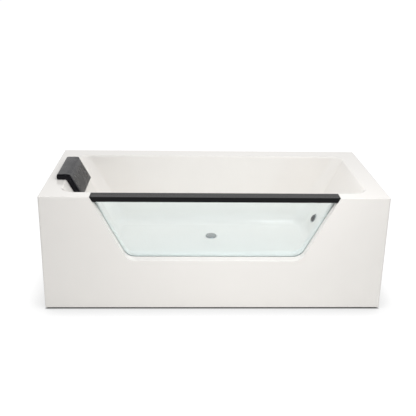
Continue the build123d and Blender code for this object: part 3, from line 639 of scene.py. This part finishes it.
# Painted soft shadow: ambient occlusion near the tub darkens the floor's glow.
near_tub = add(tree, "AmbientOcclusion", {"Distance": SHADOW_REACH}, samples=16)
painted_soft_shadow = add(
    tree, "MapRange",
    {"From Min": 0.0, "From Max": 1.0, "To Min": DEEPEST_SHADOW * FLOOR_GLOW, "To Max": FLOOR_GLOW},
    {"Value": near_tub.outputs["AO"]},
)
spot = add(tree, "SeparateXYZ", links={"Vector": place})
past_edge = []
for axis, half in (("X", TUB_HALF_LENGTH), ("Y", TUB_HALF_WIDTH)):
    off_middle = add(tree, "Math", links={0: spot.outputs[axis]}, operation="ABSOLUTE")
    past_edge.append(add(
        tree, "MapRange",
        {
            "From Min": half - SHADOW_INSIDE, "From Max": half + SHADOW_OUTSIDE,
            "To Min": GAP_SHADOW, "To Max": 1.0,
        },
        {"Value": off_middle.outputs["Value"]},
    ))
# Painted gap shadow: the glow is cut down over the tub's footprint, where hardly any light gets through
# the narrow gap under the skirt.
gap_shadow = add(
    tree, "Math", links={0: past_edge[0].outputs["Result"], 1: past_edge[1].outputs["Result"]},
    operation="MAXIMUM",
)
glow_with_painted_shadow = add(
    tree, "Math", links={0: painted_soft_shadow.outputs["Result"], 1: gap_shadow.outputs["Value"]},
    operation="MULTIPLY",
)
glow = add(tree, "Emission", {"Color": (1, 1, 1, 1)}, {"Strength": glow_with_painted_shadow.outputs["Value"]})
seen = add(tree, "AddShader", links={0: dimmed.outputs["BSDF"], 1: glow.outputs["Emission"]})
rays = add(tree, "LightPath")
eye = add(
    tree, "Math", links={0: rays.outputs["Is Camera Ray"], 1: rays.outputs["Is Glossy Ray"]},
    operation="MAXIMUM",
)
direct = add(
    tree, "Math", links={0: eye.outputs["Value"], 1: rays.outputs["Is Transmission Ray"]},
    operation="MAXIMUM",
)
both = add(
    tree, "MixShader",
    links={0: direct.outputs["Value"], 1: lit.outputs["BSDF"], 2: seen.outputs["Shader"]},
)
finish_material(tree, both.outputs["Shader"])
floor_mesh.materials.append(paper)

WORLD_LIGHT = 0.52
DARK_ROOM = 0.25
HEIGHT_WEIGHT = 0.8
CARD_STARTS = -0.3
CARD_FULL = 0.45

world = bpy.data.worlds.new("studio_surround")
bpy.context.scene.world = world
world.use_nodes = True
tree = world.node_tree
tree.nodes.clear()
rays = add(tree, "LightPath")
backdrop = add(tree, "Background", {"Color": (1, 1, 1, 1), "Strength": 1.0})
soft = add(tree, "Background", {"Color": (1, 1, 1, 1), "Strength": WORLD_LIGHT})
eye = add(
    tree, "Math", links={0: rays.outputs["Is Camera Ray"], 1: rays.outputs["Is Transmission Ray"]},
    operation="MAXIMUM",
)
facing = add(tree, "TexCoord")
direction = add(tree, "SeparateXYZ", links={"Vector": facing.outputs["Generated"]})
# The ceiling and the room in front are unlit, so gloss that faces them stays dark. White card stands behind.
raised = add(tree, "Math", {1: HEIGHT_WEIGHT}, {0: direction.outputs["Z"]}, operation="MULTIPLY")
towards_card = add(
    tree, "Math", links={0: direction.outputs["Y"], 1: raised.outputs["Value"]}, operation="SUBTRACT"
)
card = add(
    tree, "MapRange",
    {"From Min": CARD_STARTS, "From Max": CARD_FULL, "To Min": DARK_ROOM, "To Max": 1.0},
    {"Value": towards_card.outputs["Value"]},
)
mirrored = add(tree, "Background", {"Color": (1, 1, 1, 1)}, {"Strength": card.outputs["Result"]})
lamps_or_gloss = add(
    tree, "MixShader",
    links={
        0: rays.outputs["Is Glossy Ray"], 1: soft.outputs["Background"], 2: mirrored.outputs["Background"],
    },
)
all_rays = add(
    tree, "MixShader",
    links={0: eye.outputs["Value"], 1: lamps_or_gloss.outputs["Shader"], 2: backdrop.outputs["Background"]},
)
add(tree, "OutputWorld", links={"Surface": all_rays.outputs["Shader"]})


# Lamps.
# A soft box high in front lights the front wall most at the window's height, and one overhead lifts the rim.
# A small one high on the right is the only one that gloss mirrors, as a thin streak on the back fillet.
def soft_box(name, place, target, size, watts, mirrored):
    """A square area lamp aimed at a point, seen in gloss or not."""
    lamp = bpy.data.lights.new(name, "AREA")
    lamp.shape = "SQUARE"
    lamp.size = size
    lamp.energy = watts
    holder = bpy.data.objects.new(name, lamp)
    holder.visible_glossy = mirrored
    aim = Vector(target) - Vector(place)
    holder.matrix_world = Matrix.Translation(place) @ aim.to_track_quat("-Z", "Y").to_matrix().to_4x4()
    bpy.context.scene.collection.objects.link(holder)


soft_box("key_soft_box", (0.15, -1.2, 1.35), (0.15, -0.415, 0.45), 0.7, 8.3, False)
soft_box("top_soft_box", (-0.2, -0.4, 3.6), (-0.1, 0.0, 0.4), 1.1, 14.5, False)
soft_box("streak_soft_box", (0.95, -0.4, 3.6), (0.4, 0.0, 0.4), 0.7, 13.5, True)


# Camera.
# Fitted to the tub's outline corners: 60 mm lens, above the tub and in front of its middle, looking down.
LENS = 60.04
SENSOR = 36.0
CAMERA_PLACE = (-0.15284, -3.54571, 1.70586)
YAW = math.radians(2.131)
PITCH = math.radians(20.292)
ROLL = math.radians(0.9987)
VIEW_DEPTH = 200.0

view = bpy.data.cameras.new("front_camera")
view.lens = LENS
view.sensor_width = SENSOR
view.clip_end = VIEW_DEPTH
forward = Vector((math.sin(YAW) * math.cos(PITCH), math.cos(YAW) * math.cos(PITCH), -math.sin(PITCH)))
level = Vector((math.cos(YAW), -math.sin(YAW), 0.0))
upright = level.cross(forward)
right = level * math.cos(ROLL) + upright * math.sin(ROLL)
up = upright * math.cos(ROLL) - level * math.sin(ROLL)
camera = bpy.data.objects.new("front_camera", view)
axes = Matrix((right, up, -forward)).transposed().to_4x4()
camera.matrix_world = Matrix.Translation(CAMERA_PLACE) @ axes
bpy.context.scene.collection.objects.link(camera)
bpy.context.scene.camera = camera

bpy.context.scene.view_settings.view_transform = "Standard"
